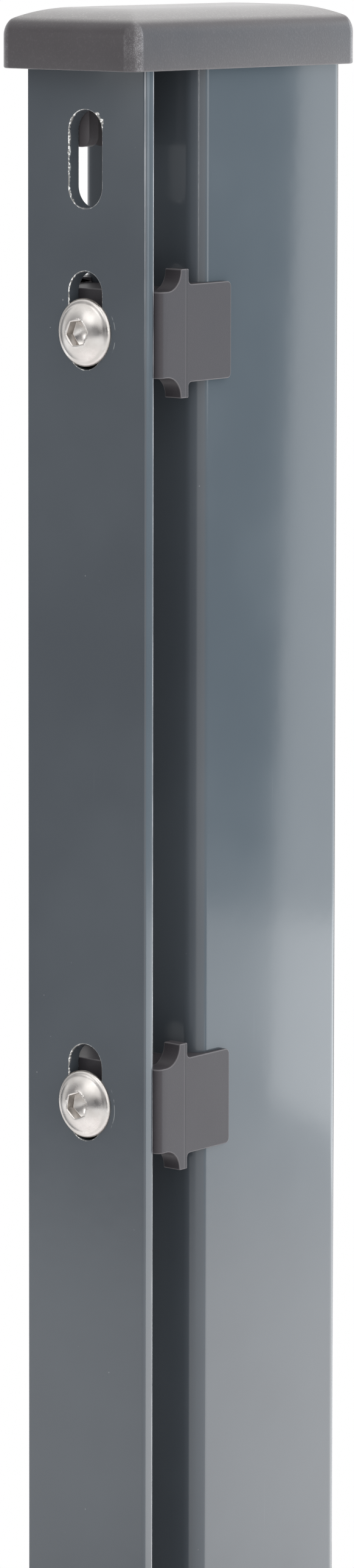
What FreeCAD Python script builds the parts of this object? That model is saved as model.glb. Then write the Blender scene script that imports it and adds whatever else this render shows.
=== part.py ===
import FreeCAD, Part
import math
import os

import Sketcher
from FreeCAD import Vector

# A steel fence post for twin-wire mesh panels, with a flat cover strip, plastic mesh holders,
# button-head bolts, rivet nuts and a plastic cap.
# +Z is up, the cover strip faces -Y, and the origin is the middle of the tube's foot end.

SIZES = {
    # The rectangular tube; the strip is as wide as its front wall
    "tube_width": 40.0,
    "tube_depth": 60.0,
    "tube_wall": 2.0,
    "tube_corner": 4.5,
    "buried_length": 400.0,
    # The flat cover strip and the gap behind it, which takes a 6/5/6 mesh
    "strip_thickness": 4.0,
    "strip_edge": 0.9,
    "strip_tail": 25.0,
    "mesh_gap": 17.0,
    "slot_clearance": 1.2,
    "slot_length": 25.0,
    "slot_rise": 3.0,
    "top_slot_rise": 41.2,
    # The fixings, counted down from the top of the tube
    "bolt_count": 4.0,
    "bolt_pitch": 200.0,
    "bolt_drop": 75.0,
    "bolt_diameter": 9.8,
    "bolt_length": 40.0,
    "head_diameter": 17.5,
    "head_height": 4.2,
    "head_edge": 0.9,
    "head_flat": 8.6,
    "socket_width": 6.0,
    "socket_depth": 3.0,
    # The rivet nuts set in the tube's front wall, with hexagonal barrels that can't turn
    "thread_clearance": 0.2,
    "nut_wall": 1.45,
    "nut_hole_clearance": 0.1,
    "nut_flange_lap": 1.55,
    "nut_flange_thickness": 1.2,
    "nut_bulge_lap": 2.05,
    "nut_bulge_length": 3.5,
    "nut_depth": 18.0,
    # The mesh holders
    "holder_overhang": 1.6,
    "holder_seat_height": 22.0,
    "holder_ear_height": 33.0,
    "holder_ear_width": 5.4,
    "holder_ear_thickness": 3.0,
    "holder_ear_set": 8.4,
    "holder_seat_round": 5.2,
    "holder_tab_height": 25.0,
    "holder_tab_lap": 11.4,
    "holder_tab_round": 2.0,
    "holder_fillet": 2.0,
    "holder_front_round": 1.6,
    "holder_hole_clearance": 0.7,
    "fit_clearance": 0.2,
    # The cap
    "cap_side": 3.0,
    "cap_front": 7.7,
    "cap_back": 1.8,
    "cap_corner": 3.7,
    "cap_lap": 8.0,
    "cap_skirt": 8.4,
    "cap_rise": 7.5,
    "cap_roll": 14.0,
    "cap_shoulder_round": 5.2,
    "cap_wall": 1.5,
    "cap_crown_wall": 2.6,
    "cap_core_inset": 8.0,
    "cap_rib_width": 1.6,
    "cap_leg_reach": 20.0,
    "cap_leg_width": 5.8,
    "cap_leg_spacing": 10.4,
    "cap_leg_thickness": 3.5,
    "cap_leg_flat": 0.8,
    "cap_key_width": 28.0,
    "cap_key_thickness": 3.0,
}

BOLT_TURNS = [-8.0, -20.0, -2.0, -33.0]

doc = FreeCAD.newDocument("fence_post")
sheet = doc.addObject("Spreadsheet::Sheet", "Sizes")


class Size:
    """A length and the sheet expression that gives it."""

    def __init__(self, value, text):
        self.value = value
        self.text = text

    def joined(self, sign, other, value):
        text = other.text if isinstance(other, Size) else repr(float(other))
        return Size(value, "(" + self.text + " " + sign + " " + text + ")")

    def __add__(self, other):
        return self.joined("+", other, self.value + number(other))

    def __sub__(self, other):
        return self.joined("-", other, self.value - number(other))

    def __mul__(self, other):
        return self.joined("*", other, self.value * number(other))

    def __truediv__(self, other):
        return self.joined("/", other, self.value / number(other))

    def __neg__(self):
        return Size(-self.value, "(0 - " + self.text + ")")


def number(size):
    return size.value if isinstance(size, Size) else float(size)


def fill_sheet():
    for row, (alias, value) in enumerate(SIZES.items(), start=1):
        sheet.set("A" + str(row), alias.replace("_", " "))
        sheet.set("B" + str(row), str(value))
        sheet.setAlias("B" + str(row), alias)
    doc.recompute()
    return {alias: Size(value, "Sizes." + alias) for alias, value in SIZES.items()}


size = fill_sheet()
ZERO = Size(0.0, "0")


def bind(feature, name, value):
    feature.setExpression(name, value.text)


def new_body(name):
    body = doc.addObject("PartDesign::Body", name)
    body.Label = name
    return body


def new_sketch(body, name, plane, offset=None):
    """Attach a sketch to one of the body's own planes, moved along the plane's normal."""
    sketch = body.newObject("Sketcher::SketchObject", name)
    for feature in body.Origin.OriginFeatures:
        if feature.Role == plane:
            sketch.AttachmentSupport = [(feature, "")]
    sketch.MapMode = "FlatFace"
    if offset is not None:
        bind(sketch, "AttachmentOffset.Base.z", offset)
    return sketch


def pin_point(sketch, geometry, end, x, y):
    """Hold one end of a sketch edge at x, y, both bound to the sheet."""
    for kind, axis, value in (("DistanceX", -2, x), ("DistanceY", -1, y)):
        if value.text == ZERO.text:
            sketch.addConstraint(Sketcher.Constraint("PointOnObject", geometry, end, axis))
            continue
        index = sketch.addConstraint(Sketcher.Constraint(kind, -1, 1, geometry, end, value.value))
        bind(sketch, "Constraints[" + str(index) + "]", value)


def sign(value):
    return (value > 1e-9) - (value < -1e-9)


def toward(corner, other):
    """Unit step from a corner to its neighbour, along X or Y."""
    return sign(number(other[0]) - number(corner[0])), sign(number(other[1]) - number(corner[1]))


def outline(sketch, corners):
    """Draw a closed outline through corners (x, y) or (x, y, radius of a rounded square corner)."""
    points = []
    for index, corner in enumerate(corners):
        x, y = corner[0], corner[1]
        if len(corner) == 2:
            points.append((x, y, None, None))
            continue
        radius = corner[2]
        back = toward(corner, corners[index - 1])
        ahead = toward(corner, corners[(index + 1) % len(corners)])
        centre_x = x.value + radius.value * (back[0] + ahead[0])
        centre_y = y.value + radius.value * (back[1] + ahead[1])
        centre = Vector(centre_x, centre_y, 0)
        points.append((x + radius * back[0], y + radius * back[1], radius, centre))
        points.append((x + radius * ahead[0], y + radius * ahead[1], None, None))
    edges = []
    for index, (x, y, radius, centre) in enumerate(points):
        next_x, next_y = points[(index + 1) % len(points)][:2]
        start = Vector(x.value, y.value, 0)
        finish = Vector(next_x.value, next_y.value, 0)
        if (finish - start).Length < 1e-6:
            continue
        if radius is None:
            edge = sketch.addGeometry(Part.LineSegment(start, finish))
            edges.append((edge, 1, 2, x, y))
            continue
        angles = [math.atan2(p.y - centre.y, p.x - centre.x) for p in (start, finish)]
        turns_left = (angles[1] - angles[0]) % (2 * math.pi) < math.pi
        first, last = (angles[0], angles[1]) if turns_left else (angles[1], angles[0])
        ring = Part.Circle(centre, Vector(0, 0, 1), radius.value)
        edge = sketch.addGeometry(Part.ArcOfCircle(ring, first, last))
        edges.append((edge, 1, 2, x, y) if turns_left else (edge, 2, 1, x, y))
        index = sketch.addConstraint(Sketcher.Constraint("Radius", edge, radius.value))
        bind(sketch, "Constraints[" + str(index) + "]", radius)
    for index, (edge, start, end, x, y) in enumerate(edges):
        following = edges[(index + 1) % len(edges)]
        sketch.addConstraint(Sketcher.Constraint("Coincident", edge, end, following[0], following[1]))
        pin_point(sketch, edge, start, x, y)


def rectangle(left, right, low, high, radius=None):
    corners = [(left, low), (right, low), (right, high), (left, high)]
    if radius is None:
        return corners
    return [(x, y, radius) for x, y in corners]


def hexagon(across):
    """Corners of a hexagon about the sketch's origin, from its width across flats."""
    corner = across / math.sqrt(3.0)
    turns = [math.radians(60.0 * step) for step in range(6)]
    return [(corner * math.cos(turn), corner * math.sin(turn)) for turn in turns]


def shoulder_outline(sketch, edge, outward):
    """What a shoulder takes off the cap's block: all above a small arc and the wide one it runs into."""
    low = cap_rim + size["cap_skirt"]
    high = low + size["cap_rise"]
    small = size["cap_shoulder_round"]
    centre_x = edge - small * outward
    crown_x = edge - size["cap_roll"] * outward
    across = size["cap_roll"].value - small.value
    rise = size["cap_rise"].value
    wide = (across ** 2 + rise ** 2 - small.value ** 2) / (2 * (rise - small.value))
    slope = math.atan2(low.value - high.value + wide, across)
    turn_low, turn_mid = (0.0, slope) if outward > 0 else (math.pi - slope, math.pi)
    lower = Part.Circle(Vector(centre_x.value, low.value, 0), Vector(0, 0, 1), small.value)
    foot_arc = sketch.addGeometry(Part.ArcOfCircle(lower, turn_low, turn_mid))
    turn_mid, turn_high = (slope, math.pi / 2) if outward > 0 else (math.pi / 2, math.pi - slope)
    upper = Part.Circle(Vector(crown_x.value, high.value - wide, 0), Vector(0, 0, 1), wide)
    top_arc = sketch.addGeometry(Part.ArcOfCircle(upper, turn_mid, turn_high))
    near, far = (1, 2) if outward > 0 else (2, 1)
    outer = Vector(edge.value, high.value, 0)
    top = sketch.addGeometry(Part.LineSegment(Vector(crown_x.value, high.value, 0), outer))
    side = sketch.addGeometry(Part.LineSegment(outer, Vector(edge.value, low.value, 0)))
    index = sketch.addConstraint(Sketcher.Constraint("Radius", foot_arc, small.value))
    bind(sketch, "Constraints[" + str(index) + "]", small)
    pin_point(sketch, foot_arc, 3, centre_x, low)
    sketch.addConstraint(Sketcher.Constraint("Horizontal", foot_arc, 3, foot_arc, near))
    sketch.addConstraint(Sketcher.Constraint("Tangent", foot_arc, far, top_arc, near))
    sketch.addConstraint(Sketcher.Constraint("Vertical", top_arc, 3, top_arc, far))
    sketch.addConstraint(Sketcher.Constraint("Coincident", top_arc, far, top, 1))
    sketch.addConstraint(Sketcher.Constraint("Coincident", top, 2, side, 1))
    sketch.addConstraint(Sketcher.Constraint("Coincident", side, 2, foot_arc, near))
    pin_point(sketch, top, 1, crown_x, high)
    pin_point(sketch, side, 1, edge, high)


def circle(sketch, x, y, radius):
    middle = Vector(x.value, y.value, 0)
    edge = sketch.addGeometry(Part.Circle(middle, Vector(0, 0, 1), radius.value))
    index = sketch.addConstraint(Sketcher.Constraint("Radius", edge, radius.value))
    bind(sketch, "Constraints[" + str(index) + "]", radius)
    pin_point(sketch, edge, 3, x, y)


def pad(body, sketch, name, length, reverse=False, symmetric=False):
    feature = body.newObject("PartDesign::Pad", name)
    feature.Profile = sketch
    feature.Reversed = reverse
    feature.SideType = "Symmetric" if symmetric else "One side"
    bind(feature, "Length", length)
    return feature


def pocket(body, sketch, name, length, reverse=False, symmetric=False):
    feature = body.newObject("PartDesign::Pocket", name)
    feature.Profile = sketch
    feature.Reversed = reverse
    feature.SideType = "Symmetric" if symmetric else "One side"
    bind(feature, "Length", length)
    return feature


def revolve(body, sketch, name):
    feature = body.newObject("PartDesign::Revolution", name)
    feature.Profile = sketch
    feature.ReferenceAxis = (sketch, ["V_Axis"])
    feature.Angle = 360.0
    return feature


def pattern_up(body, sketch, feature, name):
    """Repeat a cut up the post, once for each bolt."""
    doc.recompute()
    pattern = body.newObject("PartDesign::LinearPattern", name)
    pattern.Originals = [feature]
    pattern.Direction = (sketch, ["V_Axis"])
    pattern.Mode = "Extent"
    bind(pattern, "Length", bolt_run)
    bind(pattern, "Occurrences", size["bolt_count"])
    body.Tip = pattern
    return pattern


half_width = size["tube_width"] / 2
half_depth = size["tube_depth"] / 2
tube_front = -half_depth
strip_back = tube_front - size["mesh_gap"]
strip_front = strip_back - size["strip_thickness"]
bolt_run = size["bolt_pitch"] * (size["bolt_count"] - 1)
strip_length = size["bolt_drop"] + bolt_run + size["strip_tail"]
post_length = size["buried_length"] + strip_length
bottom_bolt = size["buried_length"] + size["strip_tail"]
top_bolt = bottom_bolt + bolt_run
cap_rim = post_length - size["cap_lap"]
nut_bore = size["bolt_diameter"] + size["thread_clearance"]
nut_body = nut_bore + size["nut_wall"] * 2
nut_flange = nut_body + size["nut_flange_lap"] * 2


def build_tube():
    """Rectangular hollow section with a hole in its front wall for each rivet nut."""
    body = new_body("post_tube")
    section = new_sketch(body, "tube_section", "XY_Plane")
    outline(section, rectangle(-half_width, half_width, -half_depth, half_depth, size["tube_corner"]))
    pad(body, section, "tube_outside", post_length)

    inside = new_sketch(body, "tube_bore", "XY_Plane")
    bore_x = half_width - size["tube_wall"]
    bore_y = half_depth - size["tube_wall"]
    bore_corner = size["tube_corner"] - size["tube_wall"]
    outline(inside, rectangle(-bore_x, bore_x, -bore_y, bore_y, bore_corner))
    pocket(body, inside, "tube_inside", post_length, reverse=True)

    hole = new_sketch(body, "nut_hole", "XZ_Plane", half_depth)
    corners = hexagon(nut_body + size["nut_hole_clearance"] * 2)
    outline(hole, [(x, bottom_bolt + y) for x, y in corners])
    cut = pocket(body, hole, "nut_hole_cut", size["tube_wall"] * 2)
    pattern_up(body, hole, cut, "nut_holes")


def build_strip():
    """Flat bar with a slot at each bolt and one more slot at the top."""
    body = new_body("cover_strip")
    section = new_sketch(body, "strip_section", "XY_Plane", size["buried_length"])
    edge = size["strip_edge"]
    outline(section, rectangle(-half_width, half_width, strip_front, strip_back, edge))
    pad(body, section, "strip_bar", strip_length)

    slot_half = (size["bolt_diameter"] + size["slot_clearance"]) / 2
    lowest = bottom_bolt + size["slot_rise"]
    highest = top_bolt + size["slot_rise"] + size["top_slot_rise"]
    reach = size["slot_length"] / 2
    top = new_sketch(body, "top_slot", "XZ_Plane", -strip_front)
    outline(top, rectangle(-slot_half, slot_half, highest - reach, highest + reach, slot_half))
    pocket(body, top, "top_slot_cut", size["strip_thickness"] * 2)
    slot = new_sketch(body, "bolt_slot", "XZ_Plane", -strip_front)
    outline(slot, rectangle(-slot_half, slot_half, lowest - reach, lowest + reach, slot_half))
    cut = pocket(body, slot, "bolt_slot_cut", size["strip_thickness"] * 2)
    pattern_up(body, slot, cut, "bolt_slots")


def cap_section(inset, radius):
    side = half_width + size["cap_side"]
    front = strip_front - size["cap_front"]
    back = half_depth + size["cap_back"]
    return rectangle(inset - side, side - inset, front + inset, back - inset, radius)


def build_cap():
    """Moulded cap: straight skirt, shoulders that roll in to a crown, legs that hang in the mesh gap."""
    body = new_body("post_cap")
    block = new_sketch(body, "cap_outline", "XY_Plane", cap_rim)
    outline(block, cap_section(ZERO, size["cap_corner"]))
    pad(body, block, "cap_block", size["cap_skirt"] + size["cap_rise"])

    side = half_width + size["cap_side"]
    front = strip_front - size["cap_front"]
    back = half_depth + size["cap_back"]
    ends = new_sketch(body, "end_shoulders", "YZ_Plane")
    shoulder_outline(ends, front, -1)
    shoulder_outline(ends, back, 1)
    pocket(body, ends, "end_shoulder_cut", side * 2, symmetric=True)
    flanks = new_sketch(body, "side_shoulders", "XZ_Plane", -front)
    shoulder_outline(flanks, -side, -1)
    shoulder_outline(flanks, side, 1)
    pocket(body, flanks, "side_shoulder_cut", back - front)

    cavity = new_sketch(body, "skirt_inside", "XY_Plane", cap_rim)
    inner_corner = size["cap_corner"] - size["cap_wall"]
    outline(cavity, cap_section(size["cap_wall"], inner_corner))
    pocket(body, cavity, "skirt_hollow", size["cap_lap"], reverse=True)

    core = new_sketch(body, "crown_inside", "XY_Plane", post_length)
    outline(core, cap_section(size["cap_core_inset"], inner_corner))
    core_height = size["cap_skirt"] + size["cap_rise"] - size["cap_lap"] - size["cap_crown_wall"]
    pocket(body, core, "crown_hollow", core_height, reverse=True)
    crown_inside = post_length + core_height

    side_gap = size["cap_side"] - size["cap_wall"] - size["fit_clearance"]
    rib_half = size["cap_rib_width"] / 2
    ribs = new_sketch(body, "rib_outline", "XY_Plane", cap_rim)
    inner_side = half_width + size["cap_side"] - size["cap_wall"]
    for share in (-0.5, 0.5):
        rib_y = half_depth * share
        for left in (-inner_side, inner_side - side_gap):
            outline(ribs, rectangle(left, left + side_gap, rib_y - rib_half, rib_y + rib_half))
        rib_x = half_width * share
        front = strip_front - size["cap_front"] + size["cap_wall"]
        front_end = strip_front - size["fit_clearance"]
        outline(ribs, rectangle(rib_x - rib_half, rib_x + rib_half, front, front_end))
    pad(body, ribs, "grip_ribs", size["cap_lap"])

    leg_front = strip_back + size["fit_clearance"]
    leg_back = leg_front + size["cap_leg_thickness"]
    leg_low = cap_rim - size["cap_leg_reach"]
    rounded = (size["cap_leg_width"] - size["cap_leg_flat"]) / 2
    legs = new_sketch(body, "leg_outline", "XZ_Plane", -leg_front)
    for side in (-1, 1):
        middle = size["cap_leg_spacing"] * (side * 0.5)
        left = middle - size["cap_leg_width"] / 2
        right = middle + size["cap_leg_width"] / 2
        foot = [(left, leg_low, rounded), (right, leg_low, rounded)]
        outline(legs, foot + [(right, crown_inside), (left, crown_inside)])
    pad(body, legs, "legs", leg_back - leg_front, reverse=True)

    key_back = tube_front - size["fit_clearance"]
    key_half = size["cap_key_width"] / 2
    key = new_sketch(body, "key_outline", "XZ_Plane", -key_back)
    foot = [(-key_half, leg_low, rounded), (key_half, leg_low, rounded)]
    outline(key, foot + [(key_half, crown_inside), (-key_half, crown_inside)])
    pad(body, key, "key", size["cap_key_thickness"])


def place(body, number_down, turn=0.0, depth=ZERO):
    """Set a repeated piece on its bolt axis, counted down from the top bolt."""
    height = top_bolt - size["bolt_pitch"] * number_down
    body.Placement = FreeCAD.Placement(Vector(0, 0, 0), FreeCAD.Rotation(Vector(0, 1, 0), turn))
    bind(body, "Placement.Base.y", depth)
    bind(body, "Placement.Base.z", height)


def build_holder(number_down):
    """Moulded holder: block between tube and strip, four ears for the wires, tabs along the tube."""
    body = new_body("mesh_holder_" + str(number_down + 1))
    side = half_width + size["holder_overhang"]
    seat = size["holder_seat_height"] / 2
    ear_top = size["holder_ear_height"] / 2
    tab_top = size["holder_tab_height"] / 2
    ear_front = strip_back + size["holder_ear_set"]
    ear_back = ear_front + size["holder_ear_thickness"]
    tab_back = tube_front + size["holder_tab_lap"]
    seat_round = size["holder_seat_round"]
    fillet = size["holder_fillet"]
    tab_round = size["holder_tab_round"]

    upper = [
        (strip_back, seat),
        (ear_front, seat, seat_round),
        (ear_front, ear_top),
        (ear_back, ear_top),
        (ear_back, tab_top, fillet),
        (tab_back, tab_top, tab_round),
    ]
    lower = [(corner[0], -corner[1]) + corner[2:] for corner in reversed(upper)]
    inboard = side - size["holder_ear_width"]
    for name, offset, reverse in (("right", inboard, False), ("left", -inboard, True)):
        cheek = new_sketch(body, name + "_cheek_outline", "YZ_Plane", offset)
        outline(cheek, upper + lower)
        pad(body, cheek, name + "_cheek", size["holder_ear_width"], reverse=reverse)
        if name == "right":
            block = new_sketch(body, "block_outline", "YZ_Plane")
            outline(block, rectangle(strip_back, tube_front, -seat, seat))
            pad(body, block, "block", inboard * 2, symmetric=True)

    gap = size["fit_clearance"]
    around = new_sketch(body, "tube_clearance", "XY_Plane", -ear_top)
    reach = half_width + gap
    outline(around, rectangle(-reach, reach, tube_front, half_depth + gap, size["tube_corner"]))
    pocket(body, around, "tube_cut", size["holder_ear_height"], reverse=True)

    hole = new_sketch(body, "bolt_hole", "XZ_Plane", -strip_back)
    hole_half = (size["bolt_diameter"] + size["holder_hole_clearance"]) / 2
    outline(hole, rectangle(-hole_half, hole_half, -hole_half, hole_half))
    pocket(body, hole, "bolt_hole_cut", size["mesh_gap"])
    recess = new_sketch(body, "flange_recess", "XZ_Plane", -tube_front)
    recess_half = nut_flange / 2 + gap * 2
    outline(recess, rectangle(-recess_half, recess_half, -recess_half, recess_half))
    pocket(body, recess, "flange_recess_cut", size["nut_flange_thickness"] + gap, reverse=True)

    doc.recompute()
    recessed = body.Tip
    names = []
    for index, edge in enumerate(recessed.Shape.Edges, start=1):
        middle = edge.CenterOfMass
        at_front = abs(middle.y - strip_back.value) < 1e-4
        at_side = abs(abs(middle.x) - side.value) < 1e-4
        if at_front and at_side:
            names.append("Edge" + str(index))
    rounding = body.newObject("PartDesign::Fillet", "front_edges")
    rounding.Base = (recessed, names)
    bind(rounding, "Radius", size["holder_front_round"])
    place(body, number_down)


def build_bolt(number_down):
    """Button-head bolt with a hexagon socket; its origin is under the head."""
    body = new_body("bolt_" + str(number_down + 1))
    rim = size["head_diameter"] / 2
    flat = size["head_flat"] / 2
    shank = size["bolt_diameter"] / 2
    profile = new_sketch(body, "bolt_profile", "XY_Plane")
    top = -size["head_height"]
    edge = -size["head_edge"]
    length = size["bolt_length"]
    outline(profile, [
        (ZERO, top), (flat, top), (rim, edge), (rim, ZERO),
        (shank, ZERO), (shank, length), (ZERO, length),
    ])
    revolve(body, profile, "bolt_blank")
    doc.recompute()

    socket = new_sketch(body, "socket_outline", "XZ_Plane", size["head_height"])
    outline(socket, hexagon(size["socket_width"]))
    pocket(body, socket, "socket", size["socket_depth"])
    place(body, number_down, BOLT_TURNS[number_down % len(BOLT_TURNS)], strip_front)


def build_nut(number_down):
    """Rivet nut, set: round flange in front of the tube wall, bulge and hexagonal barrel behind it."""
    body = new_body("rivet_nut_" + str(number_down + 1))
    barrel = new_sketch(body, "barrel_outline", "XZ_Plane")
    outline(barrel, hexagon(nut_body))
    pad(body, barrel, "barrel", size["nut_depth"], reverse=True)
    bulge = new_sketch(body, "bulge_outline", "XZ_Plane", -size["tube_wall"])
    outline(bulge, hexagon(nut_body + size["nut_bulge_lap"] * 2))
    pad(body, bulge, "bulge", size["nut_bulge_length"], reverse=True)
    flange = new_sketch(body, "flange_outline", "XZ_Plane")
    circle(flange, ZERO, ZERO, nut_flange / 2)
    pad(body, flange, "flange", size["nut_flange_thickness"])
    bore = new_sketch(body, "bore_outline", "XZ_Plane", size["nut_flange_thickness"])
    circle(bore, ZERO, ZERO, nut_bore / 2)
    pocket(body, bore, "bore", size["nut_depth"] + size["nut_flange_thickness"])
    place(body, number_down, 0.0, tube_front)


def check_document():
    for feature in doc.Objects:
        if "Invalid" in feature.State or "Error" in feature.State:
            raise RuntimeError("failed: " + feature.Name + " " + str(feature.State))


def write_parts():
    """Check every sub-part's solid, then write one STEP file for each."""
    bodies = [item for item in doc.Objects if item.isDerivedFrom("PartDesign::Body")]
    for body in bodies:
        if body.Shape.isNull() or not body.Shape.isValid():
            raise RuntimeError("bad solid: " + body.Label)
    os.makedirs("parts", exist_ok=True)
    for body in bodies:
        body.Shape.exportStep("parts/" + body.Label + ".step")
        print(body.Label, len(body.Shape.Solids), "solid", round(body.Shape.Volume), "mm3")


build_tube()
build_strip()
build_cap()
for fixing in range(int(SIZES["bolt_count"])):
    build_holder(fixing)
    build_bolt(fixing)
    build_nut(fixing)
doc.recompute()
check_document()
write_parts()
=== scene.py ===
import math

import bmesh
import bpy
from mathutils import Matrix, Vector


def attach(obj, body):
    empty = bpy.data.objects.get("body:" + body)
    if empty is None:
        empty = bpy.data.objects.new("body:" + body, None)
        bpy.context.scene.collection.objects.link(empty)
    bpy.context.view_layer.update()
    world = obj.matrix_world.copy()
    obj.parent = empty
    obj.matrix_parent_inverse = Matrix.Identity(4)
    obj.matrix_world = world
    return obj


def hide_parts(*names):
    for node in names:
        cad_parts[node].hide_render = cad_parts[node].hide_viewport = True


# A coated steel fence post with a slotted cover strip, plastic mesh holders, stainless bolts and a cap.
# +Z is up the post, the strip faces -Y. Sizes are in millimetres and become metres through MM.

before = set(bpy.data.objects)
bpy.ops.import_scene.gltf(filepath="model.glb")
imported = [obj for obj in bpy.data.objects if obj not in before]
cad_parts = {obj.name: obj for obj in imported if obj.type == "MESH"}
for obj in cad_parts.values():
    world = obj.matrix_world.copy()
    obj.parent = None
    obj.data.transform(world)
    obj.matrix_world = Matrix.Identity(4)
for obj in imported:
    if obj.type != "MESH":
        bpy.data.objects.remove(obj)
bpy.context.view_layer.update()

MM = 0.001

TUBE_WIDTH, TUBE_DEPTH, TUBE_WALL, TUBE_CORNER = 40.0, 60.0, 2.0, 4.5
POST_LENGTH = 1100.0
STRIP_THICKNESS, STRIP_LOW, STRIP_EDGE = 4.0, 400.0, 0.9
MESH_GAP = 17.0
SLOT_WIDTH, SLOT_LENGTH, SLOT_RISE, TOP_SLOT = 11.0, 25.0, 3.0, 1069.2
BOLT_PITCH, LOWEST_BOLT = 200.0, 425.0
BOLT_HEIGHTS = [LOWEST_BOLT + BOLT_PITCH * step for step in (3, 2, 1, 0)]
BOLT_TURNS = [-8.0, -20.0, -2.0, -33.0]
BOLT_HEAD_RADIUS, BOLT_SHANK_RADIUS, BOLT_LENGTH, SOCKET_HALF_FLAT = 8.75, 4.2, 40.0, 3.0
NUT_HOLE = 13.1

TUBE_FRONT = -TUBE_DEPTH / 2
STRIP_BACK = TUBE_FRONT - MESH_GAP
STRIP_FRONT = STRIP_BACK - STRIP_THICKNESS
CAP_RIM = POST_LENGTH - 8.0
HOLDER_FOLD = STRIP_BACK + 10.6
HOLDER_BODY, HOLDER_SIDE = 16.2, 21.6
HOLDER_SEAT, HOLDER_EAR, HOLDER_TAB = 11.0, 16.5, 12.5
HOLDER_ROUND, HOLDER_EDGE = 0.26, 0.2
CAP_SIDE, CAP_FRONT, CAP_BACK = 23.0, -58.7, 31.8
CAP_SKIRT, CAP_RISE, CAP_ROLL = 8.4, 7.5, 14.0
CAP_SHOULDER_ROUND, CAP_CORNER = 5.2, 3.7
CAP_WALL, CAP_CORE_INSET, CAP_CROWN_WALL = 1.5, 8.0, 2.6
CAP_LEG_FOOT, CAP_LEG_ROUND, CAP_LEG_ASIDE, CAP_LEG_HALF, CAP_KEY_HALF = 1072.0, 2.5, 5.2, 2.9, 8.1
CAP_RIB_HALF, CAP_RIB_Y, CAP_RIB_X = 0.8, 15.0, 10.0


# Meshes

def as_object(name, mesh):
    piece = bpy.data.objects.new(name, mesh)
    bpy.context.scene.collection.objects.link(piece)
    return piece


def from_bmesh(name, shape):
    mesh = bpy.data.meshes.new(name)
    shape.to_mesh(mesh)
    shape.free()
    return as_object(name, mesh)


def applied(piece):
    """Turn a piece's modifiers into plain mesh."""
    graph = bpy.context.evaluated_depsgraph_get()
    mesh = bpy.data.meshes.new_from_object(piece.evaluated_get(graph))
    piece.modifiers.clear()
    piece.data = mesh
    return piece


def combine(piece, tool, operation):
    """Cut a tool out of a piece, keep what both share, or weld them, and drop the tool."""
    modifier = piece.modifiers.new("combine", "BOOLEAN")
    modifier.operation = operation
    modifier.solver = "MANIFOLD"
    modifier.object = tool
    applied(piece)
    bpy.data.objects.remove(tool)
    return piece


def clean(piece, flat_deg=0.5):
    """Merge doubles and dissolve flat leftovers of a cut."""
    shape = bmesh.new()
    shape.from_mesh(piece.data)
    bmesh.ops.remove_doubles(shape, verts=shape.verts, dist=1e-6)
    bmesh.ops.dissolve_limit(
        shape, angle_limit=math.radians(flat_deg), verts=shape.verts, edges=shape.edges
    )
    shape.to_mesh(piece.data)
    shape.free()


def soften(piece, width, steps=2, angle=32.0, clamp=True):
    """Round every sharp edge of a finished piece."""
    bevel = piece.modifiers.new("soften", "BEVEL")
    bevel.width = width * MM
    bevel.segments = steps
    bevel.limit_method = "ANGLE"
    bevel.angle_limit = math.radians(angle)
    bevel.harden_normals = True
    bevel.use_clamp_overlap = clamp
    smooth(piece)
    return applied(piece)


def smooth(piece, angle=32.0):
    """Shade a piece smooth except across edges sharper than an angle."""
    mesh = piece.data
    mesh.polygons.foreach_set("use_smooth", [True] * len(mesh.polygons))
    mesh.set_sharp_from_angle(angle=math.radians(angle))


def skin(shape, rings, closed_ends=True):
    """Faces between rings of points that follow each other."""
    loops = [[shape.verts.new(point) for point in ring] for ring in rings]
    for low, high in zip(loops, loops[1:]):
        for index in range(len(low)):
            ahead = (index + 1) % len(low)
            shape.faces.new((low[index], low[ahead], high[ahead], high[index]))
    if closed_ends:
        shape.faces.new(list(reversed(loops[0])))
        shape.faces.new(loops[-1])
    return loops


def face_out(shape):
    bmesh.ops.recalc_face_normals(shape, faces=shape.faces)
    if shape.calc_volume(signed=True) < 0:
        bmesh.ops.reverse_faces(shape, faces=shape.faces)


def prism(name, outline, low, high, axis):
    """An outline of (u, v) points pushed along an axis: x takes (y, z), y takes (x, z), z takes (x, y)."""
    at = {
        "x": lambda u, v, w: Vector((w, u, v)),
        "y": lambda u, v, w: Vector((u, w, v)),
        "z": lambda u, v, w: Vector((u, v, w)),
    }[axis]
    shape = bmesh.new()
    skin(shape, [[at(u, v, w) * MM for u, v in outline] for w in (low, high)])
    face_out(shape)
    return from_bmesh(name, shape)


def arc(centre, radius, start, end, steps):
    """Points along an arc, angles in degrees."""
    points = []
    for step in range(steps + 1):
        turn = math.radians(start + (end - start) * step / steps)
        points.append((centre[0] + radius * math.cos(turn), centre[1] + radius * math.sin(turn)))
    return points


def rounded_box(left, right, low, high, radius, steps=6):
    corners = ((right, high, 0), (left, high, 90), (left, low, 180), (right, low, 270))
    points = []
    for x, y, turn in corners:
        inward_x = x - math.copysign(radius, x - (left + right) / 2)
        inward_y = y - math.copysign(radius, y - (low + high) / 2)
        points += arc((inward_x, inward_y), radius, turn, turn + 90, steps)
    return points


def lathe(shape, profile, steps):
    """Turn a profile of (radius, depth along +Y) about the Y axis and close both ends flat."""
    turns = [2 * math.pi * step / steps for step in range(steps)]
    rings = []
    for radius, depth in profile:
        rings.append([Vector((radius * math.cos(t), depth, radius * math.sin(t))) * MM for t in turns])
    skin(shape, rings)
    face_out(shape)


# Node trees

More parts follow.
